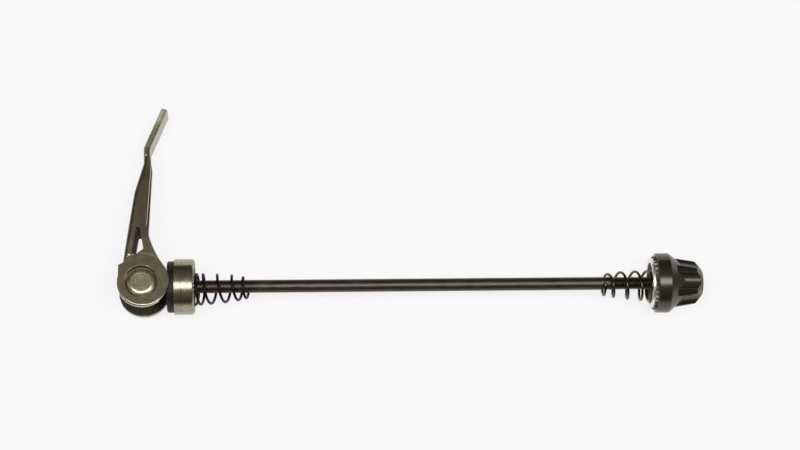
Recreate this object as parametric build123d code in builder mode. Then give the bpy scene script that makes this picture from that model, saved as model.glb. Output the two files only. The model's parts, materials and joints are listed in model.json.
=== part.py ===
from build123d import *
from math import asin, cos, pi, radians, sin, sqrt
import os

os.makedirs("parts", exist_ok=True)

# All lengths are millimetres. X runs along the rod from the lever to the nut, and X = 0 is the
# clamp face of the cup. The closed lever points along +Y. Z is up, away from the table.

# Rod
rod_dia = 4.8
rod_reach = 185.7
rod_end_chamfer = 0.6
staked_end_inset = 0.6

# Clamp cup and its plastic saddle
cup_dia = 20.8
cup_length = 7.4
cup_wall = 0.8
cup_base = 3.6
cup_rim_round = 1.1
clamp_ring_inner_dia = 14.8
spring_seat_depth = 0.5
serration_count = 40
serration_depth = 0.35
serration_reach = 1.2
serration_tilt = 45.0
saddle_proud = 2.75
saddle_edge_round = 0.7
saddle_lead = 0.4
slide_clearance = 0.2

# Cams on the lever, which swing in the groove of the saddle
cam_radius = 10.3
cam_fall = 1.5
cam_gap = 0.3
cam_nest = 1.25
cam_heel_angle = 31.0
cam_toe_angle = 15.0
cam_points = 13

# Lever, folded from sheet: points are (across, along) from the pivot
sheet = 2.2
head_width = 15.4
coin_depth = 0.2
coin_radius = 10.9
cheek_rim_round = 0.8
cheek_rim_rise = 0.6
cheek_rim_arc = 180.0
fold_radius = 1.6
fold_face_lean = 0.8
fold_edge_lean = 0.3
shoulder_top = (-6.85, 7.25)
shoulder_out = 6.3
web_knee = (-3.2, 35.6)
web_neck = (0.15, 48.0)
blade_root = (0.15, 54.0)
blade_tip = (6.65, 70.2)
flare_mid = (4.6, 12.3)
flare_top = (1.7, 22.5)
wall_end = (2.9, 47.6)
wall_runout = 51.2
knee_round = 14.0
neck_round = 3.0
crook_round = 5.0
taper_start = 17.0
taper_round = 40.0
blade_width = 8.8
blade_corner_round = 0.8
window_top_outer = (-2.0, 21.6)
window_top_inner = (-0.9, 21.6)
window_outer = (-3.75, 10.7)
window_foot = (-1.95, 10.6)
window_inner = (0.7, 12.5)
window_round = 0.5

# Pivot barrel
barrel_dia = 10.5
barrel_inset = 0.25
barrel_dome = 0.6
barrel_bevel = 1.35
pivot_clearance = 0.06
pivot_chamfer = 0.95

# Conical springs: place along the axis and coil radius at the wire's centre, at these turns
wire_dia = 1.0
spring_turns = (-0.5, 0.0, 1.0, 2.0, 3.0, 4.0, 4.75)
spring_places = (0.0, 0.8, 3.1, 8.3, 13.7, 18.0, 19.4)
spring_radii = (5.65, 5.65, 5.55, 5.2, 4.8, 4.0, 3.6)
spring_steps_per_turn = 8
lever_spring_lag = (1.15, 0.7)
nut_spring_lag = (1.3, 0.7)
spring_lag_angle = 225.0
spring_lean = 0.15
nut_spring_sink = 1.5
nut_spring_crowd = 0.95

# Nut: steel insert with a toothed ring, and the plastic knob moulded around it
nut_setback = 15.2
ring_inner_dia = 15.4
ring_outer_dia = 18.6
ring_stand = 0.85
tooth_count = 32
tooth_root_dia = 18.7
tooth_tip_dia = 20.0
tooth_length = 1.0
insert_seat_dia = 17.4
insert_seat_depth = 2.4
ring_recess_depth = 2.6
hub_flats = 9.6
hub_sides = 6
hub_length = 8.6
insert_fit = 0.02
thread_clearance = 0.08
flange_dia = 22.4
flange_length = 4.8
flange_edge_round = 0.5
shoulder_length = 2.6
shoulder_sink = 2.4
grip_dia = 18.4
grip_end_dia = 15.0
grip_length = 10.2
grip_end_chamfer = 2.6
knob_bore_dia = 6.2
flute_count = 6
flute_radius = 5.0
flute_depth = 1.6
flute_phase = 36.0

# Places along the rod
clamp_span = rod_reach - nut_setback
saddle_face_x = -cup_length - saddle_proud
groove_radius = cam_radius + cam_gap
pivot_x = saddle_face_x + cam_nest - groove_radius
saddle_seat_x = -cup_base
knob_face_x = clamp_span + ring_stand + tooth_length
knob_end_x = knob_face_x + flange_length + shoulder_length + grip_length

# Unheld, the skewer lies on the nut, the cup and the tip of the lever, so the lever is rolled
# about the rod until the lower edge of its blade meets the table under the nut.
lever_roll = asin((flange_dia / 2 - blade_width / 2) / blade_tip[1])
lever_plane = Plane(origin=(pivot_x, 0, 0), x_dir=(1, 0, 0), z_dir=(0, sin(lever_roll), cos(lever_roll)))
lever_front = Plane(origin=lever_plane.origin, x_dir=lever_plane.y_dir, z_dir=lever_plane.x_dir)
rod_start_x = pivot_x - barrel_dia / 2 + staked_end_inset
lever_far = 40.0

# Rod, with a chamfer at the threaded end
with BuildPart() as skewer_rod:
    with BuildSketch(Plane.YZ.offset(rod_start_x)):
        Circle(rod_dia / 2)
    extrude(amount=rod_reach - rod_start_x)
    chamfer(skewer_rod.faces().sort_by(Axis.X)[-1].edges(), rod_end_chamfer)
skewer_rod.part.label = "skewer_rod"
export_step(skewer_rod.part, "parts/skewer_rod.step")

# Barrel with domed ends, cross-drilled for the rod
barrel_half = head_width / 2 - coin_depth - barrel_inset
barrel_flat = barrel_dia / 2 - barrel_bevel
with BuildPart() as pivot_barrel:
    with BuildSketch(lever_plane):
        Circle(barrel_dia / 2)
    extrude(amount=barrel_half, both=True)
    for side in (1, -1):
        with BuildSketch(lever_front):
            with BuildLine():
                Polyline(
                    (barrel_dia / 2, side * (barrel_half - barrel_dome)),
                    (barrel_dia, side * (barrel_half - barrel_dome)),
                    (barrel_dia, side * barrel_half),
                    (barrel_flat, side * barrel_half),
                )
                ThreePointArc(
                    (barrel_flat, side * barrel_half),
                    (barrel_flat + barrel_bevel / 2, side * (barrel_half - barrel_dome / 3)),
                    (barrel_dia / 2, side * (barrel_half - barrel_dome)),
                )
            make_face()
        revolve(axis=Axis(lever_plane.origin, lever_plane.z_dir), mode=Mode.SUBTRACT)
    with BuildSketch(Plane.YZ.offset(pivot_x)):
        Circle(rod_dia / 2 + insert_fit)
    extrude(amount=barrel_dia, both=True, mode=Mode.SUBTRACT)
pivot_barrel.part.label = "pivot_barrel"
export_step(pivot_barrel.part, "parts/pivot_barrel.step")

# The room inside the folded channel and between the two cheeks
web_line = [shoulder_top, web_knee, web_neck, blade_root]
inner_line = [(across + sheet, along) for across, along in web_line]
with BuildPart() as channel_room:
    with BuildSketch(lever_plane):
        with BuildLine():
            Polyline(
                *inner_line,
                (lever_far, blade_root[1]),
                (lever_far, -lever_far),
                (-lever_far, -lever_far),
                (-lever_far, shoulder_top[1]),
                close=True,
            )
        make_face()
    extrude(amount=head_width / 2, both=True)
    with BuildSketch(lever_front):
        with BuildLine():
            Polyline(
                (-lever_far, head_width / 2 - sheet),
                (taper_start, head_width / 2 - sheet),
                (blade_root[1], blade_width / 2 - sheet),
                (blade_root[1], sheet - blade_width / 2),
                (taper_start, sheet - head_width / 2),
                (-lever_far, sheet - head_width / 2),
                close=True,
            )
        make_face()
    extrude(amount=2 * lever_far, both=True, mode=Mode.INTERSECT)

# Cam outline: constant at the closed heel, then falling evenly towards the open toe
heel = radians(cam_heel_angle)
toe = pi + radians(cam_toe_angle)
cam_toe_radius = cam_radius - cam_fall
cam_turns = [pi * step / (cam_points - 1) for step in range(cam_points)]
cam_curve = [
    ((cam_radius - cam_fall * turn / pi) * cos(turn), -(cam_radius - cam_fall * turn / pi) * sin(turn))
    for turn in cam_turns
]
toe_end = (cam_toe_radius * cos(toe), -cam_toe_radius * sin(toe))
toe_mid = (cam_toe_radius * cos((pi + toe) / 2), -cam_toe_radius * sin((pi + toe) / 2))
heel_end = (cam_radius * cos(heel), cam_radius * sin(heel))
heel_mid = (cam_radius * cos(heel / 2), cam_radius * sin(heel / 2))
blade_run = sqrt((blade_tip[0] - blade_root[0]) ** 2 + (blade_tip[1] - blade_root[1]) ** 2)
blade_lean = asin((blade_tip[0] - blade_root[0]) / blade_run)
blade_back = (blade_tip[0] + sheet * cos(blade_lean), blade_tip[1] - sheet * sin(blade_lean))
crook = (blade_root[0] + sheet, blade_root[1] - sheet * sin(blade_lean / 2))

taper = (head_width - blade_width) / 2 / (blade_root[1] - taper_start)
neck_half = blade_width / 2 + taper * (blade_root[1] - web_neck[1]) - fold_radius
runout_half = blade_width / 2 + taper * (blade_root[1] - wall_runout)

# The flat blade has sharp sheared edges, which rise out of the rounded fold at the neck
with BuildPart() as blade:
    with BuildSketch(lever_plane) as blade_side:
        with BuildLine():
            Polyline(
                web_neck,
                blade_root,
                blade_tip,
                blade_back,
                crook,
                (crook[0], web_neck[1]),
                close=True,
            )
        make_face()
        for bend, bend_round in [(blade_root, neck_round), (crook, crook_round)]:
            fillet(blade_side.vertices().sort_by_distance((*bend, 0))[0], bend_round)
    extrude(amount=head_width / 2, both=True)
    with BuildSketch(lever_front) as blade_plan:
        with BuildLine():
            Polyline(
                (web_neck[1], neck_half),
                (wall_runout, runout_half),
                (blade_root[1], blade_width / 2),
                (blade_tip[1], blade_width / 2),
                (blade_tip[1], -blade_width / 2),
                (blade_root[1], -blade_width / 2),
                (wall_runout, -runout_half),
                (web_neck[1], -neck_half),
                close=True,
            )
        make_face()
        fillet(blade_plan.vertices().group_by(Axis.X)[-1], blade_corner_round)
    extrude(amount=lever_far, both=True, mode=Mode.INTERSECT)

coined_half = head_width / 2 - coin_depth
rim_inner = cam_radius - cam_fall / 2
rim_centre = lever_plane.from_local_coords((cam_fall / 2, cheek_rim_rise, 0))
rim_arc_drop = cheek_rim_round * (1 - cos(pi / 4))

with BuildPart() as cam_lever:
    with BuildSketch(lever_plane) as lever_side:
        with BuildLine():
            Spline(*cam_curve, tangents=[(0, -1), (0, 1)])
            ThreePointArc(cam_curve[-1], toe_mid, toe_end)
            Polyline(
                toe_end,
                (toe_end[0], shoulder_out),
                shoulder_top,
                web_knee,
                web_neck,
                (web_neck[0], wall_runout),
                (crook[0], wall_runout),
                wall_end,
                flare_top,
            )
            ThreePointArc(flare_top, flare_mid, heel_end)
            ThreePointArc(heel_end, heel_mid, cam_curve[0])
        make_face()
        for bend, bend_round in [
            (web_knee, knee_round),
            (web_neck, neck_round),
            (wall_end, crook_round),
        ]:
            fillet(lever_side.vertices().sort_by_distance((*bend, 0))[0], bend_round)
    extrude(amount=head_width / 2, both=True)
    with BuildSketch(lever_front) as lever_plan:
        with BuildLine():
            Polyline(
                (-lever_far, head_width / 2),
                (taper_start, head_width / 2),
                (wall_runout, runout_half),
                (wall_runout, -runout_half),
                (taper_start, -head_width / 2),
                (-lever_far, -head_width / 2),
                close=True,
            )
        make_face()
        fillet(lever_plan.vertices().group_by(Axis.X)[1], taper_round)
    extrude(amount=lever_far, both=True, mode=Mode.INTERSECT)
    add(channel_room.part, mode=Mode.SUBTRACT)
    fold_faces = cam_lever.faces().filter_by(
        lambda face: face.normal_at().dot(lever_plane.x_dir) < -fold_face_lean
        and lever_plane.to_local_coords(face.center()).Y > shoulder_top[1]
    )
    fold_edges = fold_faces.edges().filter_by(
        lambda edge: abs(edge.tangent_at(0.5).dot(lever_plane.z_dir)) < fold_edge_lean
    )
    fillet(fold_edges, fold_radius)
    add(blade.part)
    with BuildSketch(lever_plane):
        with BuildLine():
            Polyline(window_top_inner, window_top_outer, window_outer, window_foot, window_inner, close=True)
        window_face = make_face()
        fillet(window_face.vertices(), window_round)
    extrude(amount=head_width, both=True, mode=Mode.SUBTRACT)
    for side in (1, -1):
        with BuildSketch(lever_plane.offset(side * (head_width / 2 - coin_depth))):
            Circle(coin_radius)
        extrude(amount=side * coin_depth, mode=Mode.SUBTRACT)
    with BuildSketch(lever_plane):
        Circle(barrel_dia / 2 + pivot_clearance)
    extrude(amount=head_width, both=True, mode=Mode.SUBTRACT)
    for side in (1, -1):
        coined = cam_lever.faces().filter_by(lever_plane)
        coined_face = coined.sort_by_distance(lever_plane.offset(side * head_width / 2).origin)[0]
        chamfer(coined_face.inner_wires().edges(), pivot_chamfer)
        with BuildSketch(Plane(origin=rim_centre, x_dir=lever_plane.x_dir, z_dir=-lever_plane.y_dir)):
            with BuildLine():
                ThreePointArc(
                    (rim_inner, side * coined_half),
                    (rim_inner + cheek_rim_round * sin(pi / 4), side * (coined_half - rim_arc_drop)),
                    (rim_inner + cheek_rim_round, side * (coined_half - cheek_rim_round)),
                )
                Polyline(
                    (rim_inner + cheek_rim_round, side * (coined_half - cheek_rim_round)),
                    (2 * rim_inner, side * (coined_half - cheek_rim_round)),
                    (2 * rim_inner, side * head_width / 2),
                    (rim_inner, side * head_width / 2),
                    (rim_inner, side * coined_half),
                )
            make_face()
        revolve(axis=Axis(rim_centre, -lever_plane.z_dir), revolution_arc=cheek_rim_arc, mode=Mode.SUBTRACT)
cam_lever.part.label = "cam_lever"
export_step(cam_lever.part, "parts/cam_lever.step")

# Saddle: a plug in the cup, with a groove across its face for the two cams
saddle_dia = cup_dia - 2 * cup_wall - 2 * insert_fit
with BuildPart() as cam_saddle:
    with BuildSketch(Plane.YZ.offset(saddle_face_x)):
        Circle(saddle_dia / 2)
        Circle(rod_dia / 2 + slide_clearance, mode=Mode.SUBTRACT)
    extrude(amount=saddle_seat_x - saddle_face_x)
    fillet(cam_saddle.faces().sort_by(Axis.X)[0].outer_wire().edges(), saddle_edge_round)
    chamfer(cam_saddle.faces().sort_by(Axis.X)[-1].outer_wire().edges(), saddle_lead)
    with BuildSketch(lever_plane):
        Circle(groove_radius)
    extrude(amount=cup_dia, both=True, mode=Mode.SUBTRACT)
cam_saddle.part.label = "cam_saddle"
export_step(cam_saddle.part, "parts/cam_saddle.step")

# Cup: open towards the lever, with a spring seat and a ring of serrations on the clamp face
serration_side = serration_depth * sqrt(2)
serration_middle = cup_dia / 2 - cup_rim_round
with BuildPart(Plane.YZ) as clamp_cup:
    with BuildSketch(Plane.YZ.offset(-cup_length)):
        Circle(cup_dia / 2)
    extrude(amount=cup_length)
    fillet(clamp_cup.faces().sort_by(Axis.X)[-1].edges(), cup_rim_round)
    with BuildSketch(Plane.YZ.offset(-cup_length)):
        Circle(cup_dia / 2 - cup_wall)
    extrude(amount=cup_length - cup_base, mode=Mode.SUBTRACT)
    with BuildSketch(Plane.YZ.offset(-spring_seat_depth)):
        Circle(clamp_ring_inner_dia / 2)
    extrude(amount=spring_seat_depth, mode=Mode.SUBTRACT)
    with BuildSketch(Plane.YZ.offset(-cup_length)):
        Circle(rod_dia / 2 + slide_clearance)
    extrude(amount=cup_length, mode=Mode.SUBTRACT)
    with PolarLocations(serration_middle, serration_count):
        Box(
            2 * serration_reach,
            serration_side,
            serration_side,
            rotation=(serration_tilt, 0, 0),
            mode=Mode.SUBTRACT,
        )
clamp_cup.part.label = "clamp_cup"
export_step(clamp_cup.part, "parts/clamp_cup.step")

# Springs: closed at both ends, wide against the clamp face, hanging on the rod and so leaning a little
spring_form = list(zip(spring_turns, spring_places, spring_radii))
spring_rows = []
for (turn_a, place_a, radius_a), (turn_b, place_b, radius_b) in zip(spring_form, spring_form[1:]):
    steps = round((turn_b - turn_a) * spring_steps_per_turn)
    for step in range(steps):
        share = step / steps
        spring_rows.append(
            (
                turn_a + share * (turn_b - turn_a),
                place_a + share * (place_b - place_a),
                radius_a + share * (radius_b - radius_a),
            )
        )
spring_rows.append(spring_form[-1])
spring_start = spring_places[0]
spring_span = spring_places[-1] - spring_start
lag_y = cos(radians(spring_lag_angle))
lag_z = sin(radians(spring_lag_angle))

lever_spring_path = []
nut_spring_path = []
for turn, place, radius in spring_rows:
    along = (place - spring_start) / spring_span
    lever_lag = lever_spring_lag[0] + along * (lever_spring_lag[1] - lever_spring_lag[0])
    nut_lag = nut_spring_lag[0] + along * (nut_spring_lag[1] - nut_spring_lag[0])
    out_y = radius * cos(2 * pi * turn)
    out_z = radius * sin(2 * pi * turn)
    lean = spring_lean * out_z
    lever_spring_path.append((place - lean, out_y + lever_lag * lag_y, out_z + lever_lag * lag_z))
    crowd = nut_spring_crowd * sin(pi * along)
    nut_x = clamp_span + nut_spring_sink - place - lean + crowd
    nut_spring_path.append((nut_x, out_y + nut_lag * lag_y, nut_lag * lag_z - out_z))

with BuildPart() as lever_spring:
    with BuildLine() as lever_coil:
        Spline(*lever_spring_path)
    with BuildSketch(Plane(origin=lever_coil.line @ 0, z_dir=lever_coil.line % 0)):
        Circle(wire_dia / 2)
    sweep(path=lever_coil.line, is_frenet=True)
lever_spring.part.label = "lever_spring"
export_step(lever_spring.part, "parts/lever_spring.step")

with BuildPart() as nut_spring:
    with BuildLine() as nut_coil:
        Spline(*nut_spring_path)
    with BuildSketch(Plane(origin=nut_coil.line @ 0, z_dir=nut_coil.line % 0)):
        Circle(wire_dia / 2)
    sweep(path=nut_coil.line, is_frenet=True)
nut_spring.part.label = "nut_spring"
export_step(nut_spring.part, "parts/nut_spring.step")

# Nut insert: clamp ring, a crown of teeth behind it, a seat and a hexagonal hub in the knob
hub_start_x = knob_face_x + insert_seat_depth
tooth_points = []
for tooth in range(tooth_count):
    tip_turn = 2 * pi * tooth / tooth_count
    root_turn = tip_turn + pi / tooth_count
    tooth_points.append((tooth_tip_dia / 2 * cos(tip_turn), tooth_tip_dia / 2 * sin(tip_turn)))
    tooth_points.append((tooth_root_dia / 2 * cos(root_turn), tooth_root_dia / 2 * sin(root_turn)))
with BuildPart() as nut_insert:
    with BuildSketch(Plane.YZ.offset(clamp_span)):
        Circle(ring_outer_dia / 2)
    extrude(amount=knob_face_x - clamp_span)
    with BuildSketch(Plane.YZ.offset(clamp_span + ring_stand)):
        Polygon(*tooth_points, align=None)
    extrude(amount=tooth_length)
    with BuildSketch(Plane.YZ.offset(knob_face_x)):
        Circle(insert_seat_dia / 2)
    extrude(amount=insert_seat_depth)
    with BuildSketch(Plane.YZ.offset(hub_start_x)):
        RegularPolygon(hub_flats / 2, hub_sides, major_radius=False)
    extrude(amount=hub_length)
    with BuildSketch(Plane.YZ.offset(clamp_span)):
        Circle(ring_inner_dia / 2)
    extrude(amount=ring_recess_depth, mode=Mode.SUBTRACT)
    with BuildSketch(Plane.YZ.offset(clamp_span)):
        Circle(rod_dia / 2 + thread_clearance)
    extrude(amount=hub_start_x + hub_length - clamp_span, mode=Mode.SUBTRACT)
nut_insert.part.label = "nut_insert"
export_step(nut_insert.part, "parts/nut_insert.step")

# Knob, moulded around the insert: a tapered grip with flutes that run into the slope of the flange
shoulder_x = knob_face_x + flange_length
grip_x = shoulder_x + shoulder_length
grip_slope = (grip_dia - grip_end_dia) / 2 / grip_length
shoulder_slope = (flange_dia - grip_dia) / 2 / shoulder_length
shoulder_foot = grip_dia / 2 - shoulder_sink
shoulder_end_x = shoulder_x + (flange_dia / 2 - shoulder_foot) / shoulder_slope
with BuildPart() as nut_knob:
    with BuildSketch(Plane.XY):
        with BuildLine():
            Polyline(
                (shoulder_x, 0),
                (shoulder_x, grip_dia / 2 + grip_slope * shoulder_length),
                (knob_end_x - grip_end_chamfer, grip_end_dia / 2 + grip_slope * grip_end_chamfer),
                (knob_end_x, grip_end_dia / 2 - grip_end_chamfer),
                (knob_end_x, 0),
                close=True,
            )
        make_face()
    revolve(axis=Axis.X)
    for flute in range(flute_count):
        flute_turn = radians(flute_phase) + 2 * pi * flute / flute_count
        flute_out = grip_dia / 2 + flute_radius - flute_depth
        flute_run = Plane(
            origin=(grip_x, flute_out * cos(flute_turn), flute_out * sin(flute_turn)),
            z_dir=(1, -grip_slope * cos(flute_turn), -grip_slope * sin(flute_turn)),
        )
        with BuildSketch(flute_run):
            Circle(flute_radius)
        extrude(amount=2 * grip_length, both=True, mode=Mode.SUBTRACT)
    with BuildSketch(Plane.XY) as flange_half:
        with BuildLine():
            Polyline(
                (knob_face_x, 0),
                (knob_face_x, flange_dia / 2),
                (shoulder_x, flange_dia / 2),
                (shoulder_end_x, shoulder_foot),
                (shoulder_end_x, 0),
                close=True,
            )
        make_face()
        fillet(flange_half.vertices().group_by(Axis.Y)[-1], flange_edge_round)
    revolve(axis=Axis.X)
    with BuildSketch(Plane.YZ.offset(knob_face_x)):
        Circle(insert_seat_dia / 2 + insert_fit)
    extrude(amount=insert_seat_depth, mode=Mode.SUBTRACT)
    with BuildSketch(Plane.YZ.offset(hub_start_x)):
        RegularPolygon(hub_flats / 2 + insert_fit, hub_sides, major_radius=False)
    extrude(amount=hub_length, mode=Mode.SUBTRACT)
    with BuildSketch(Plane.YZ.offset(knob_face_x)):
        Circle(knob_bore_dia / 2)
    extrude(amount=knob_end_x - knob_face_x, mode=Mode.SUBTRACT)
nut_knob.part.label = "nut_knob"
export_step(nut_knob.part, "parts/nut_knob.step")
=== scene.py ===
# %% [markdown]
# # A bicycle quick release skewer
# This lesson dresses a finished CAD model. The solids of the skewer come in as a fixed frame, and
# everything that follows either gives one of them its finish or adds a piece that is too fine for
# the solids. All of it could be modelled here, but then nothing would promise that the cams still
# clear the saddle. So nothing of the frame is moved or reshaped.

# %% Load the frame
import json
import math

import bmesh
import bpy
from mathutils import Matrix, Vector


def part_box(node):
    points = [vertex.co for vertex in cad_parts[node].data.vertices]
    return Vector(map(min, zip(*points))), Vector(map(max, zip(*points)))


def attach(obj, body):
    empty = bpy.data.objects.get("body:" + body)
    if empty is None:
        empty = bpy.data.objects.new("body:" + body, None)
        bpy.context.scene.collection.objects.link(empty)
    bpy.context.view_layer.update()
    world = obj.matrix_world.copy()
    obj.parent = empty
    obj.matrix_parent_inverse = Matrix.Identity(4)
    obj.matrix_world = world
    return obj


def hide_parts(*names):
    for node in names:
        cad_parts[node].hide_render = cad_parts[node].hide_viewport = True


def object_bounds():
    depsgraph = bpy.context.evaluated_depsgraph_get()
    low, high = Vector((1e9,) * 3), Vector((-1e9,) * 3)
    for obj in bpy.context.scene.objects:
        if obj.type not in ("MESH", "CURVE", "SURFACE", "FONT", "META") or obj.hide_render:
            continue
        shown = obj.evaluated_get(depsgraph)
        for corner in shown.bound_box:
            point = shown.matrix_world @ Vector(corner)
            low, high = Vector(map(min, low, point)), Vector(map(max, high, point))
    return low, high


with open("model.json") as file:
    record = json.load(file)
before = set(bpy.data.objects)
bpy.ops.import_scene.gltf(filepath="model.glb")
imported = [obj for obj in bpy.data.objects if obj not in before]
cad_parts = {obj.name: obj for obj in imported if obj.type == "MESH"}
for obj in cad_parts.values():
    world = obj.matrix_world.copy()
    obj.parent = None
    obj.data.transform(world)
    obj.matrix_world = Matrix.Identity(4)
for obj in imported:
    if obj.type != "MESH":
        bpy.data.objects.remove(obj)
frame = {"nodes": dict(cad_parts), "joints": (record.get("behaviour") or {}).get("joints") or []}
solids = frame["nodes"]
cad_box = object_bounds()
MM = 0.001
print("nodes:", ", ".join(sorted(solids)))
print("CAD box in mm:", [[round(v / MM, 2) for v in corner] for corner in cad_box])

# %% [markdown]
# ## Where things are
# The rod lies along X with X = 0 at the clamp face of the cup. The lever swings on the barrel, and
# the barrel is turned a few degrees about the rod. Its axis could be typed in, but the hinge in the
# record already holds it, so it is read from there. Finishes that follow a turned face measure
# their distance from one of these two axes.

# %% The two axes of the skewer
swing = next(joint for joint in frame["joints"] if joint["name"] == "lever_swing")
pivot = Vector(swing["pos_m"]) / MM
pivot_axis = Vector(swing["axis"]).normalized()
rod_axis = Vector((1, 0, 0))
lever_axis = pivot_axis.cross(rod_axis)
print("pivot in mm:", [round(v, 2) for v in pivot], "axis:", [round(v, 4) for v in pivot_axis])

# %% [markdown]
# ## The camera
# The skewer is seen from above as it lies flat, a little from the near side and about opposite the
# lever's spring. A camera can be aimed with a constraint, but a lens that looks slightly past its
# subject is easier to give as a place and one turn about an axis. A 100 mm lens from 0.8 m away
# shows a slight perspective: the face of the nut is seen, and the face of the cup hardly is.

# %% Camera
camera_place = Vector((34.9, -179.89, 810.33)) * MM
camera_turn = Vector((14.075, -2.813, -0.761))
lens, sensor, nearest = 100, 36, 10 * MM
camera = bpy.data.objects.new("camera", bpy.data.cameras.new("camera"))
camera.data.lens = lens
camera.data.sensor_width = sensor
camera.data.clip_start = nearest
camera.location = camera_place
camera.rotation_mode = "AXIS_ANGLE"
camera.rotation_axis_angle = (math.radians(camera_turn.length), *camera_turn.normalized())
bpy.context.collection.objects.link(camera)
bpy.context.scene.camera = camera
bpy.context.scene.view_settings.view_transform = "Standard"
print("camera height in mm:", round(camera.location.z / MM))

# %% [markdown]
# ## The threaded rod
# The solids leave the rod plain, because a thread of 0.8 mm pitch is finer than a collision model
# needs. A bump map would be the cheap way to add it, but it would leave a straight outline. Here
# the thread is cut for real: rings of points follow each other along the rod, and the radius of each
# point dips where the groove passes it, so the helix comes from the numbers alone. This rod takes
# the place of the plain one.

# %% The rod's sizes
rod_low, rod_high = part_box("skewer_rod")
rod_radius = (rod_high.z - rod_low.z) / 2
thread_start, thread_pitch, thread_depth = 155.8 * MM, 0.8 * MM, 0.36 * MM
groove_share = 0.85
runout_pitches = 2
end_chamfer = 0.6 * MM
plain_collar = 0.2 * MM
rings_per_pitch, points_round = 10, 32
print("thread length in mm:", round((rod_high.x - thread_start) / MM, 1))


# %% Radius of the rod
def rod_radius_at(x, turn):
    """Radius of the rod at a place along it and a turn from 0 to 1."""
    phase = ((x - thread_start) / thread_pitch - turn) % 1.0
    groove = max(0.0, 1.0 - abs(2.0 * phase - 1.0) / groove_share)
    cut = min(1.0, max(0.0, (x - thread_start) / (runout_pitches * thread_pitch)))
    chamfer = max(0.0, x - rod_high.x + end_chamfer)
    return rod_radius - max(thread_depth * groove * cut, chamfer)


print("core of the thread in mm:", round(2 * (rod_radius - thread_depth) / MM, 2))


# %% Rod with its thread
def make_rod():
    """The whole rod, as rings of points that are joined by faces."""
    steps = round((rod_high.x - thread_start) / thread_pitch * rings_per_pitch)
    places = [rod_low.x, rod_low.x + plain_collar]
    places += [thread_start + (rod_high.x - thread_start) * step / steps for step in range(steps + 1)]
    body = bmesh.new()
    rings = []
    for x in places:
        ring = []
        for point in range(points_round):
            turn = point / points_round
            radius = rod_radius_at(x, turn)
            angle = 2 * math.pi * turn
            ring.append(body.verts.new((x, radius * math.cos(angle), radius * math.sin(angle))))
        rings.append(ring)
    for before, after in zip(rings, rings[1:]):
        for point in range(points_round):
            beside = (point + 1) % points_round
            body.faces.new((before[point], before[beside], after[beside], after[point])).smooth = True
    body.faces.new(reversed(rings[0]))
    body.faces.new(rings[-1])
    bmesh.ops.recalc_face_normals(body, faces=body.faces)
    mesh = bpy.data.meshes.new("threaded_rod")
    body.to_mesh(mesh)
    body.free()
    return bpy.data.objects.new("threaded_rod", mesh)


threaded_rod = make_rod()
bpy.context.collection.objects.link(threaded_rod)
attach(threaded_rod, "spindle")
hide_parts("skewer_rod")
print("threaded rod:", len(threaded_rod.data.polygons), "faces")

# %% [markdown]
# ## Node maths as Python
# A finish is a small sum over the surface: a noise here, a ring of wear there. Drawn as nodes, such
# sums get long, so here a socket is wrapped in a class that can be added, multiplied and so on in
# plain Python, and each operator adds its Math node. Every other node comes from the method `node`.


# %% A wrapped socket
class Wire:
    """An output socket of a node, whose operators add Math nodes to the same tree."""

    def __init__(self, socket):
        self.socket = socket

    def node(self, kind, settings=None, **sockets):
        """Adds a node: its settings first, then the values or links of its sockets."""
        tree = self.socket.id_data
        made = tree.nodes.new(kind)
        for name, value in (settings or {}).items():
            setattr(made, name, value)
        for name, value in sockets.items():
            words = name.replace("_", " ")
            socket = next(s for s in made.inputs if s.identifier == name or (s.enabled and s.name == words))
            if isinstance(value, Wire):
                tree.links.new(value.socket, socket)
            else:
                socket.default_value = value
        return Wire(next((s for s in made.outputs if s.enabled), made.outputs[0]))

    def out(self, name):
        """Another output of the same node."""
        return Wire(self.socket.node.outputs[name])

    def math(self, operation, *values, clamp=False):
        """A Math node on these values."""
        sockets = {f"Value_{i:03d}" if i else "Value": value for i, value in enumerate(values)}
        return self.node("ShaderNodeMath", {"operation": operation, "use_clamp": clamp}, **sockets)

    def __add__(self, other):
        return self.math("ADD", self, other)

    def __radd__(self, other):
        return self.math("ADD", other, self)

    def __sub__(self, other):
        return self.math("SUBTRACT", self, other)

    def __rsub__(self, other):
        return self.math("SUBTRACT", other, self)

    def __mul__(self, other):
        return self.math("MULTIPLY", self, other)

    def __rmul__(self, other):
        return self.math("MULTIPLY", other, self)

    def __pow__(self, other):
        return self.math("POWER", self, other)

    def __abs__(self):
        return self.math("ABSOLUTE", self)

    def between(self, low, high):
        """A mask that goes from 0 at low to 1 at high, and stays there."""
        return self.math("DIVIDE", self - low, high - low, clamp=True)

    def mix(self, below, above):
        """A colour that goes from one to the other as this mask goes from 0 to 1."""
        colours = [c if isinstance(c, Wire) else (*c, 1.0) for c in (below, above)]
        return self.node(
            "ShaderNodeMix",
            {"data_type": "RGBA", "clamp_factor": True},
            Factor_Float=self,
            A_Color=colours[0],
            B_Color=colours[1],
        )


print("a wire can:", ", ".join(name for name in vars(Wire) if name.isalpha()))

# %% [markdown]
# ## What every finish needs
# All finishes start from the place on the piece, in millimetres, so that a grain has its real size.
# A painted image would need the pieces unwrapped first; a place in space needs nothing, and the
# grain runs on over every edge. From the place come a noise, a distance along an axis, and a relief.


# %% Starting and putting on a finish
def start_finish(name, **constants):
    """A material whose Principled shader has these constant values, and its places in mm."""
    finish = bpy.data.materials.new(name)
    finish.use_nodes = True
    shader = finish.node_tree.nodes["Principled BSDF"]
    for socket, value in constants.items():
        shader.inputs[socket.replace("_", " ")].default_value = value
    coordinates = Wire(finish.node_tree.nodes.new("ShaderNodeTexCoord").outputs["Object"])
    place = coordinates.node(
        "ShaderNodeVectorMath", {"operation": "SCALE"}, Vector=coordinates, Scale=1 / MM
    )
    return finish, shader, place


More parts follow.
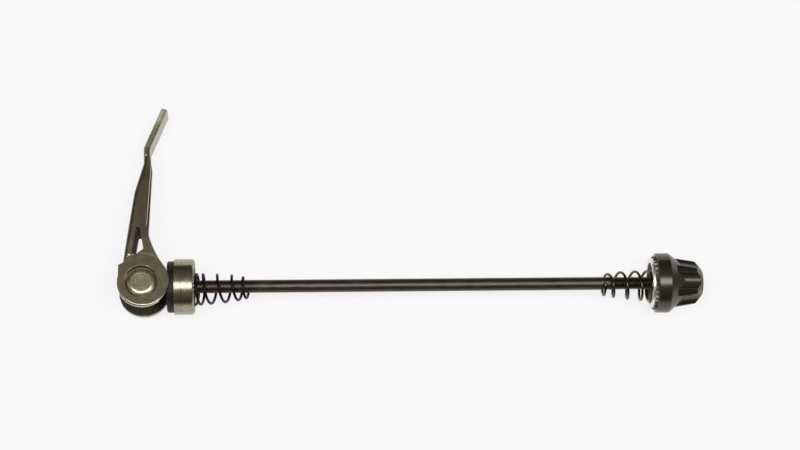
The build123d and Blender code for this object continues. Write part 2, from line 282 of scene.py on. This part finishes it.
def finish_with(shader, **wires):
    """Links what varies over the surface to the shader."""
    for socket, value in wires.items():
        shader.id_data.links.new(value.socket, shader.inputs[socket.replace("_", " ")])


def dress(finish, *pieces):
    """Puts a finish on pieces, in place of what they came with."""
    for piece in pieces:
        piece.data.materials.clear()
        piece.data.materials.append(finish)
    print(finish.name, "with", len(finish.node_tree.nodes), "nodes on", ", ".join(p.name for p in pieces))


# %% Grain, distance and relief
def grain(place, size, detail=3.0):
    """Noise from 0 to 1 whose blotches are about this many mm across."""
    return place.node("ShaderNodeTexNoise", Vector=place, Scale=1 / size, Detail=detail, Roughness=0.55)


def along(place, axis, origin=(0, 0, 0)):
    """How far a place is along an axis, in mm."""
    from_origin = place.node(
        "ShaderNodeVectorMath", {"operation": "SUBTRACT"}, Vector=place, Vector_001=tuple(origin)
    )
    return place.node(
        "ShaderNodeVectorMath", {"operation": "DOT_PRODUCT"}, Vector=from_origin, Vector_001=tuple(axis)
    ).out("Value")


def relief(height, depth, reach=0.0):
    """A normal that follows a height from 0 to 1, depth mm high, over edges rounded by reach mm."""
    sockets = {"Normal": height.node("ShaderNodeBevel", {"samples": 4}, Radius=reach * MM)} if reach else {}
    return height.node("ShaderNodeBump", Height=height, Distance=depth * MM, Strength=1.0, **sockets)


speckle = 0.2
print("speckle of the finishes in mm:", speckle)

# %% [markdown]
# ## The springs: black wire
# The wire of both springs is drawn, coiled and blackened. Plain black paint would do from afar, but
# a thin wire shows hardly more than its highlights, so what counts is how rough it is. The finish
# is a very dark metal whose speckle varies both the colour and the roughness. At the lever the wire
# is dull with oil, and at the nut it is barer and takes a highlight.

# %% Spring finish
oiled_wire, dull_wire, bare_wire = (0.014, 0.012, 0.009), (0.045, 0.04, 0.032), (0.075, 0.067, 0.056)
between_springs = (60.0, 120.0)


def black_wire():
    finish, shader, place = start_finish("black_spring_wire", Metallic=1.0)
    cloud = grain(place, size=1.2)
    speck = grain(place, size=speckle, detail=5.0)
    bare = along(place, rod_axis).between(*between_springs)
    tone = (cloud * 0.6 + speck * 0.4).between(0.42, 0.72)
    colour = bare.mix(tone.mix(oiled_wire, dull_wire), bare_wire)
    polish = 0.34 + 0.16 * cloud - 0.2 * bare
    finish_with(shader, Base_Color=colour, Roughness=polish, Normal=relief(speck, depth=0.006))
    return finish


dress(black_wire(), solids["lever_spring"], solids["nut_spring"])

# %% [markdown]
# ## The rod: blackened steel
# Oil and an old black finish leave the rod nearly black, with a brown cast and a soft shine. One dark colour
# would make it look like plastic. A noise that is stretched along the rod gives the fine lines that drawing
# leaves in steel, and since the distance from the axis is known, the grooves of the thread can stay blacker
# than its crests. Under the springs the rod is painted darker still, a painted shade of the springs.


# %% Distances and stretched noise
def cross_axes(place):
    """Places along X, Y and Z."""
    return [along(place, axis) for axis in ((1, 0, 0), (0, 1, 0), (0, 0, 1))]


def packed(x, y, z):
    """Three values as one vector."""
    return x.node("ShaderNodeCombineXYZ", X=x, Y=y, Z=z)


def distance(a, b):
    """Length of the flat vector (a, b)."""
    return (a * a + b * b) ** 0.5


# The rod is painted darker under the springs, a painted shade that fades over these spans in mm.
lever_spring_shade, nut_spring_shade = (19.0, 24.0), (153.0, 157.0)
print("oil fades between", lever_spring_shade, "and", nut_spring_shade, "mm along the rod")

# %% Rod finish
# shaded_black is the colour of the painted shade under the springs.
groove_black, shaded_black, unshaded_black = (0.055, 0.045, 0.032), (0.062, 0.055, 0.038), (0.122, 0.109, 0.08)
groove_to_crest = (2.1, 2.35)


def blackened_rod():
    finish, shader, place = start_finish("blackened_rod_steel", Metallic=1.0)
    x, y, z = cross_axes(place)
    cloud = grain(packed(x * 0.3, y, z), size=1.6)
    drawn = grain(packed(x * 0.05, y * 2.0, z * 2.0), size=0.5)
    speck = grain(place, size=0.3, detail=5.0)
    crest = distance(y, z).between(*groove_to_crest)
    # Mask of the painted shade under the springs: full at the lever's spring, partial at the nut's.
    spring_shade = 1 - x.between(*lever_spring_shade) * (1 - 0.6 * x.between(*nut_spring_shade))
    tone = (cloud * 0.5 + drawn * 0.3 + speck * 0.2).between(0.35, 0.68)
    black = (tone - spring_shade * 0.9).mix(shaded_black, unshaded_black)
    colour = (crest * (1 - 0.5 * spring_shade)).mix(groove_black, black)
    polish = 0.3 + 0.16 * cloud + 0.06 * speck
    normal = relief(drawn * 0.6 + speck * 0.4, depth=0.006)
    finish_with(shader, Base_Color=colour, Roughness=polish, Normal=normal)
    return finish


dress(blackened_rod(), threaded_rod)

# %% [markdown]
# ## The saddle: plain black plastic
# The saddle is moulded, and the cams slide in its groove. A grain could be carved into its mesh, but
# at a fifth of a millimetre nobody would see the difference, so a bump is enough. Its shine is set
# low, because a black plastic shows its shine more than its colour.

# %% Saddle finish
saddle_black, saddle_dust = (0.0085, 0.0072, 0.0052), (0.024, 0.021, 0.0165)


def saddle_plastic():
    finish, shader, place = start_finish("black_saddle_plastic", Specular_IOR_Level=0.35)
    cloud = grain(place, size=2.0)
    speck = grain(place, size=speckle, detail=4.0)
    dust = (cloud * 0.6 + speck * 0.4).between(0.5, 0.75)
    colour = dust.mix(saddle_black, saddle_dust)
    polish = 0.42 + 0.2 * cloud
    normal = relief(speck, depth=0.012, reach=0.25)
    finish_with(shader, Base_Color=colour, Roughness=polish, Normal=normal)
    return finish


dress(saddle_plastic(), solids["cam_saddle"])

# %% [markdown]
# ## The knob: satin plastic, scuffed at its edges
# The knob is a harder plastic with a satin grain from the mould, and hands have scuffed its edges
# paler. The wear could be painted on by hand. The Bevel node finds it without paint: where its
# rounded normal leaves the flat one, there is an edge, and the wear stays right if the shape changes.

# %% Finding edges
worn_reach = 0.3
edge_turn = (0.01, 0.16)


def near_edge(place, reach):
    """1 on an edge and 0 on a flat, for edges within this many mm."""
    rounded = place.node("ShaderNodeBevel", {"samples": 6}, Radius=reach * MM)
    flat = place.node("ShaderNodeNewGeometry").out("Normal")
    agree = place.node(
        "ShaderNodeVectorMath", {"operation": "DOT_PRODUCT"}, Vector=rounded, Vector_001=flat
    ).out("Value")
    return (1 - agree).between(*edge_turn)


print("edges are worn over", worn_reach, "mm")

# %% Knob finish
knob_black, knob_faded, knob_scuffed = (0.010, 0.0087, 0.0064), (0.0165, 0.0145, 0.011), (0.06, 0.055, 0.045)
warm_shine = (1.0, 0.95, 0.76, 1.0)


def knob_plastic():
    finish, shader, place = start_finish(
        "satin_knob_plastic", Specular_IOR_Level=0.85, Specular_Tint=warm_shine
    )
    cloud = grain(place, size=3.0)
    speck = grain(place, size=speckle, detail=4.0)
    blotch = grain(place, size=0.7, detail=5.0)
    scuff = (near_edge(place, worn_reach) * 0.7 + blotch * 0.6).between(0.55, 1.1)
    colour = scuff.mix(cloud.mix(knob_black, knob_faded), knob_scuffed)
    polish = 0.16 + 0.08 * cloud + 0.05 * speck
    normal = relief(speck, depth=0.01, reach=0.25)
    finish_with(shader, Base_Color=colour, Roughness=polish, Normal=normal)
    return finish


dress(knob_plastic(), solids["nut_knob"])

# %% [markdown]
# ## The nut's insert: bright plating
# The insert is plated bright, and only its clamp ring and a crown of teeth show. The recess and the teeth
# are painted darker, a painted shade in the hollow and over the teeth, a little less at their tips. It could
# be a second material on chosen faces, but then its edge would be a clean line. The piece is turned, so the
# painted shade is a matter of radius: a mask on the distance from the rod's axis puts it there, and a noise
# makes the edge ragged.

# %% Insert finish
recess_wall = (7.0, 7.8)
tooth_root = (9.32, 9.38)
tooth_tip = (9.6, 9.95)
# The darker colour is the painted shade of the recess and the teeth.
insert_bright, insert_shade_colour = (0.85, 0.84, 0.76), (0.08, 0.07, 0.045)


def bright_plating():
    finish, shader, place = start_finish("bright_plated_insert", Metallic=1.0)
    radius = distance(along(place, (0, 1, 0)), along(place, (0, 0, 1)))
    cloud = grain(place, size=1.2)
    speck = grain(place, size=speckle, detail=4.0)
    # Painted shade: the recess and the crown of teeth are darker, the tips a little less.
    tooth_shade = radius.between(*tooth_root) - 0.3 * radius.between(*tooth_tip)
    painted_shade = (1 - radius.between(*recess_wall)) + tooth_shade
    hollow_shade = (painted_shade * 0.85 + (cloud - 0.5) * 0.4).between(0.1, 0.9)
    colour = hollow_shade.mix(insert_bright, insert_shade_colour)
    polish = 0.3 + 0.12 * cloud + 0.2 * hollow_shade
    normal = relief(speck, depth=0.008, reach=0.15)
    finish_with(shader, Base_Color=colour, Roughness=polish, Normal=normal)
    return finish


dress(bright_plating(), solids["nut_insert"])

# %% [markdown]
# ## The barrel: a turned face
# The end of the barrel came off a lathe, and the tool left rings around its axis. A picture of
# brushed metal has a direction but no centre. A sine of the distance from the barrel's axis gives the
# rings, both as tone and as relief, and a finer sine adds the feed marks of the tool.

# %% Barrel finish
ring_pitch, feed_pitch = 1.05, 0.21
lathe_dark, lathe_bright = (0.40, 0.375, 0.245), (0.62, 0.59, 0.41)


def waves(value, pitch):
    """A sine of a distance that goes from 0 to 1 and back once in every pitch."""
    return value.math("SINE", value * (2 * math.pi / pitch)) * 0.5 + 0.5


def turned_steel():
    finish, shader, place = start_finish("turned_steel", Metallic=1.0)
    radius = distance(along(place, rod_axis, pivot), along(place, lever_axis, pivot))
    cloud = grain(place, size=1.5)
    rings = waves(radius + cloud * 0.3, ring_pitch)
    feed = waves(radius, feed_pitch)
    tone = (rings * 0.55 + cloud * 0.45).between(0.2, 0.85)
    colour = tone.mix(lathe_dark, lathe_bright)
    polish = 0.2 + 0.1 * cloud + 0.05 * feed
    normal = relief(rings * 0.75 + feed * 0.25, depth=0.022, reach=0.15)
    finish_with(shader, Base_Color=colour, Roughness=polish, Normal=normal)
    return finish


dress(turned_steel(), solids["pivot_barrel"])

# %% [markdown]
# ## The cup: bright steel with scuffs
# The cup is turned and plated bright. Handling has left scratches around it, stains, and a faint ring
# where the wall inside changes thickness. An anisotropic shader would stretch its highlight, but no
# single scratch would show. So the scratches are a noise that is stretched along the angle about the
# rod's axis, and the same noise breaks up the tone and the polish.

# %% Cup finish
ring_place, ring_half_width = -4.9, (0.04, 0.3)
cup_dull, cup_bright = (0.29, 0.27, 0.195), (0.41, 0.39, 0.32)
cup_stained, cup_worn = (0.24, 0.21, 0.125), (0.6, 0.58, 0.5)


def bright_steel():
    finish, shader, place = start_finish("bright_scuffed_steel", Metallic=1.0)
    x, y, z = cross_axes(place)
    angle = y.math("ARCTAN2", z, y)
    cloud = grain(place, size=2.4)
    lines = grain(packed(x * 1.6, angle * 0.5, 0.0), size=1.0, detail=4.0)
    patches = grain(packed(x * 0.5, y, z * 1.2), size=2.2, detail=4.0)
    stain_and_shade = (patches * 0.7 + lines * 0.3).between(0.48, 0.66)
    ring = 1 - abs(x - ring_place).between(*ring_half_width)
    tone = (cloud * 0.45 + lines * 0.55).between(0.3, 0.7)
    plated = (tone - ring * 0.6).mix(cup_dull, cup_bright)
    colour = (near_edge(place, worn_reach) * 0.5).mix(stain_and_shade.mix(plated, cup_stained), cup_worn)
    polish = 0.16 + 0.08 * cloud + 0.1 * stain_and_shade + 0.04 * lines
    normal = relief(lines * 0.4 - ring, depth=0.035, reach=0.15)
    finish_with(shader, Base_Color=colour, Roughness=polish, Normal=normal)
    return finish


dress(bright_steel(), solids["clamp_cup"])

# %% [markdown]
# ## The lever: where a place is
# The lever is folded from sheet, plated and then handled for years, and wear, torn edges, painted shade and
# painted highlights run into each other on it. Each could be a material of its own on chosen faces, but then
# they would meet in clean lines. So one finish blends them by masks. The masks ask how far across, up and
# deep a place is from the pivot, and which way its surface faces. The Texture Coordinate node gives that in
# the lever's own axes, so nothing shifts when the lever swings.


# %% Measures on the lever
def lever_measures(place):
    """Across, up and deep from the pivot in mm, and how far the surface faces X and the pivot's axis."""
    across, up, deep = (along(place, axis, pivot) for axis in (rod_axis, lever_axis, pivot_axis))
    normal = place.node("ShaderNodeTexCoord").out("Normal")
    return across, up, deep, along(normal, rod_axis), along(normal, pivot_axis)


print("up the lever is", [round(v, 3) for v in lever_axis])

# %% [markdown]
# ## The lever's painted shade
# Shade is painted where little light reaches: on the cut walls of the window, inside the channel and at the
# neck. The fold's rounding and the inner walls get a lighter painted shade. The darker painted shade could
# be a darker colour on the same metal, but metal still mirrors at a low angle, so it also hides the metal
# there, and the lighter one doesn't.

# %% Window of the lever
window_foot, window_top = (9.9, 10.3), (21.9, 22.5)
window_left_slope, window_left = 0.129, (-5.45, -5.25)
window_right_slope, window_right = 0.284, (5.6, 6.2)
# The cut walls of the window get the darker painted shade.
print("dirt of the window spans", round(window_top[0] - window_foot[1], 1), "mm")


def window_walls(across, up, facing):
    """1 on the cut walls of the window in each side of the lever."""
    height = up.between(*window_foot) * (1 - up.between(*window_top))
    left = (across - up * window_left_slope).between(*window_left)
    right = 1 - (across + up * window_right_slope).between(*window_right)
    return height * left * right * (1 - abs(facing).between(0.3, 0.6))


# %% Painted shade
# These place the painted shade on the neck, the fold's rounding and the inside of the channel.
neck_foot, neck_top, neck_side = (49.0, 51.0), (52.5, 54.0), (0.4, 1.2)
fold_foot, fold_slope, fold_side = (7.0, 9.0), 0.1, (-3.0, -2.2)
fold_back, fold_front = (0.02, 0.1), (0.75, 0.95)
channel_top, wall_inside = (42.0, 47.0), (5.52, 5.7)
print("the channel ends between", channel_top, "mm above the pivot")


def shade_masks(across, up, deep, sideways, facing):
    """A mask of painted shade that also hides the metal, and one of lighter painted shade that only darkens
    it.
    """
    neck = up.between(*neck_foot) * (1 - up.between(*neck_top)) * (1 - across.between(*neck_side))
    folded = up.between(*fold_foot) * (1 - (across - up * fold_slope).between(*fold_side))
    fold = folded * facing.between(*fold_back) * (1 - facing.between(*fold_front))
    channel = 1 - up.between(*channel_top)
    hollow = channel * folded * sideways.between(0.3, 0.6)
    inner = channel * (1 - abs(deep).between(*wall_inside)) * abs(facing).between(0.8, 0.95)
    # The window walls, the channel's hollow and the neck get the darker painted shade; the fold's rounding
    # and the inner walls a lighter one.
    painted_shade = (window_walls(across, up, facing) + hollow + neck * 0.6).between(0.0, 1.0)
    return painted_shade, fold * 0.9 + inner * 0.4


# %% [markdown]
# ## The lever's painted highlights and bulge
# A soft pale band beside the window is a painted highlight, standing in for the light on the fold; it has no
# relief. A small bulge where it runs into the step of the cheek gets a bump, so it catches the lamp as a
# bright spot, and it is painted pale as well, a painted highlight on top of the real one. The bulge could be
# modelled, but it is only about as high as two sheets of paper, so a bump is enough to turn the light.

# %% Painted highlight band and bulge
# These place the painted highlight band beside the window and the bulge, which gets a painted highlight as
# well as a bump.
band_slope, band_line, band_half_width = 0.206, -7.08, (0.1, 0.75)
band_foot, band_top = (10.6, 11.2), (21.0, 27.0)
bulge_across, bulge_up, bulge_radius, bulge_stretch = -4.75, 10.55, (0.0, 0.5), 0.6
print("the bulge is", bulge_up, "mm above the pivot")


def highlight_band_and_bulge(across, up, facing):
    """A mask of the painted highlight band beside the window, and one of the bulge at its foot, which is
    painted pale too.
    """
    outside = facing.between(0.6, 0.9)
    band_highlight = 1 - abs(across - up * band_slope - band_line).between(*band_half_width)
    band_highlight = band_highlight * up.between(*band_foot) * (1 - up.between(*band_top))
    bulge = 1 - distance((across - bulge_across) * bulge_stretch, up - bulge_up).between(*bulge_radius)
    return band_highlight * outside, bulge * outside


# %% [markdown]
# ## The blade's torn edges
# The blade's edges were sheared and never smoothed, so they are rough and mottled, paler towards the
# tip and darker along the inner face. A scan of torn steel would be the exact way. A noise of about the
# size of the torn spots, cut to a narrow range so that it has clear borders, comes close.

# %% Torn edges
blade_root, blade_tip, sheared_edge = (51.5, 54.0), (61.5, 65.5), (4.28, 4.36)
blade_slope, blade_inside = 0.401, (-20.6, -19.8)
tear_size = 0.6
tear_dark, tear_pale, tear_tip = (0.14, 0.127, 0.066), (0.42, 0.40, 0.285), (0.72, 0.69, 0.57)
print("the blade starts between", blade_root, "mm above the pivot")


def torn_colour(place, up, inside):
    """Colour of the sheared edges."""
    tip = up.between(*blade_tip)
    mottle = grain(place, size=tear_size, detail=4.0).between(0.36, 0.62)
    torn = (mottle + tip * 0.35).mix(tear_dark, tip.mix(tear_pale, tear_tip))
    return (inside * 0.45).mix(torn, tear_dark)


# %% [markdown]
# ## The lever's finish: pressed steel with a dull plating
# The plating is a warm grey with cloudy patches and fine lines from the press, and it is rubbed bright along
# the edges, less so at the step around the pivot. A plain grey metal would look new. The layers go on in
# this order: plating, torn edges, wear together with the painted highlights, and painted shade on top.

# %% Lever finish
cheek_step, step_half_width = 10.9, (0.3, 0.7)
plate_dark, plate_pale, blade_handled = (0.29, 0.262, 0.19), (0.40, 0.367, 0.272), (0.33, 0.305, 0.212)
# lever_shade_colour is the colour of the painted shade.
# wear_and_highlight_pale is the colour of both the rubbed wear and the painted highlights.
wear_and_highlight_pale, lever_shade_colour = (0.50, 0.475, 0.385), (0.06, 0.05, 0.033)


def pressed_steel():
    finish, shader, place = start_finish("dull_plated_steel")
    across, up, deep, sideways, facing = lever_measures(place)
    # Masks of painted shade.
    painted_shade, stain_and_shade = shade_masks(across, up, deep, sideways, facing)
    # Masks of the painted highlight band and of the bulge.
    band_highlight, bulge = highlight_band_and_bulge(across, up, facing)
    cloud = grain(place, size=3.2)
    speck = grain(place, size=0.25, detail=5.0)
    press_lines = grain(packed(across * 2.5, up * 0.1, deep * 2.5), size=0.6)
    blade = up.between(*blade_root)
    inside = (across - up * blade_slope).between(*blade_inside)
    sheared = abs(deep).between(*sheared_edge) * blade
    away_from_step = 0.3 + 0.7 * abs(distance(across, up) - cheek_step).between(*step_half_width)
    rubbed = (near_edge(place, worn_reach) + cloud * 0.6).between(0.5, 1.1) * away_from_step
    tone = (cloud * 0.5 + press_lines * 0.35 + speck * 0.15).between(0.34, 0.66)
    plated = (blade * (0.2 + 0.7 * inside)).mix(tone.mix(plate_dark, plate_pale), blade_handled)
    surface = sheared.mix(plated, torn_colour(place, up, inside))
    # Wear lightens the edges, and the band and the bulge get a painted highlight in the same pale colour.
    worn = (rubbed + band_highlight * 0.5 + bulge).mix(surface, wear_and_highlight_pale)
    # Painted shade darkens the window walls, the channel, the neck, the fold's rounding and the inner walls.
    colour = (painted_shade + stain_and_shade).mix(worn, lever_shade_colour)
    polish = 0.17 + 0.1 * cloud + 0.05 * speck + 0.26 * sheared + 0.75 * painted_shade
    tears = sheared * grain(place, size=tear_size)
    height = speck * 0.4 + press_lines * 0.6 + tears * 4.0 + bulge * 30.0
    normal = relief(height, depth=0.006, reach=0.2)
    finish_with(shader, Base_Color=colour, Metallic=1 - painted_shade, Roughness=polish, Normal=normal)
    return finish


dress(pressed_steel(), solids["cam_lever"])

# %% [markdown]
# ## The floor: a white sheet
# The skewer lies on a white sheet. Enough light to burn the sheet out to white would also bleach the
# metal, so the sheet is lifted to white by itself: for the camera, and for the reflections in the
# metal, most of it is a plain white glow. The rest stays paper, and keeps a soft shadow.

# %% Floor
sheet_size = 40.0
sheet_lift = 0.8
paper_white, plain_white = (0.95, 0.95, 0.95, 1.0), (1.0, 1.0, 1.0, 1.0)


def white_sheet():
    finish = bpy.data.materials.new("white_sheet")
    finish.use_nodes = True
    tree = finish.node_tree
    tree.nodes.remove(tree.nodes["Principled BSDF"])
    camera_ray = Wire(tree.nodes.new("ShaderNodeLightPath").outputs["Is Camera Ray"])
    seen = camera_ray + camera_ray.out("Is Glossy Ray") + camera_ray.out("Is Transmission Ray")
    paper = seen.node("ShaderNodeBsdfDiffuse", Color=paper_white)
    glow = seen.node("ShaderNodeEmission", Color=plain_white, Strength=1.0)
    lifted = seen.node("ShaderNodeMixShader", Fac=seen * sheet_lift, Shader=paper, Shader_001=glow)
    tree.links.new(lifted.socket, tree.nodes["Material Output"].inputs["Surface"])
    return finish


bpy.ops.mesh.primitive_plane_add(size=sheet_size, location=(0.0, 0.0, cad_box[0].z))
floor = bpy.context.object
floor.name = "floor"
floor.data.materials.append(white_sheet())
print("floor at z in mm:", round(floor.location.z / MM, 2))

# %% [markdown]
# ## The lamps
# Round metal shows its lamps as bright lines, so their shape matters more than their strength. A
# small lamp would draw a dot on each piece. One long soft lamp above the rod draws a line along the
# rod, the cup and the knob, and two weak ones at the ends lift the faces that look left and right.

# %% Lamps
middle = (cad_box[0] + cad_box[1]) / 2


def soft_lamp(name, place, size, power):
    """A rectangular lamp at a place in metres that faces the skewer."""
    lamp = bpy.data.lights.new(name, "AREA")
    lamp.shape = "RECTANGLE"
    lamp.size, lamp.size_y = size
    lamp.energy = power
    holder = bpy.data.objects.new(name, lamp)
    holder.location = place
    holder.rotation_mode = "QUATERNION"
    holder.rotation_quaternion = (middle - Vector(place)).to_track_quat("-Z", "Y")
    bpy.context.collection.objects.link(holder)
    return holder


lamps = [
    soft_lamp("long_lamp", place=(middle.x, -0.13, 1.2), size=(1.6, 0.46), power=11.5),
    soft_lamp("left_lamp", place=(-1.1, 0.1, 0.5), size=(0.7, 0.5), power=0.5),
    soft_lamp("right_lamp", place=(1.3, 0.1, 0.5), size=(0.7, 0.5), power=0.9),
]
print("lamps:", ", ".join(f"{lamp.name} {lamp.data.energy} W" for lamp in lamps))

# %% [markdown]
# ## The surroundings: a dim room
# Metal has no colour of its own but what it mirrors. Under an even white sky all its bands would
# vanish, so the room is dim and warm, darkest along the walls and paler under the ceiling. A picture
# of a real room would do it too, but a blend from dark to pale is all that this metal shows.

# %% Surroundings
wall_band = (0.3, 0.95)
wall_tone, ceiling_tone = (0.062, 0.055, 0.04), (0.235, 0.222, 0.185)


def dim_room():
    room = bpy.data.worlds.new("dim_room")
    room.use_nodes = True
    tree = room.node_tree
    direction = Wire(tree.nodes.new("ShaderNodeTexCoord").outputs["Generated"])
    height = direction.node("ShaderNodeSeparateXYZ", Vector=direction).out("Z")
    walls = height.between(*wall_band).mix(wall_tone, ceiling_tone)
    tree.links.new(walls.socket, tree.nodes["Background"].inputs["Color"])
    return room


bpy.context.scene.world = dim_room()
print("surroundings:", bpy.context.scene.world.name)

# %% [markdown]
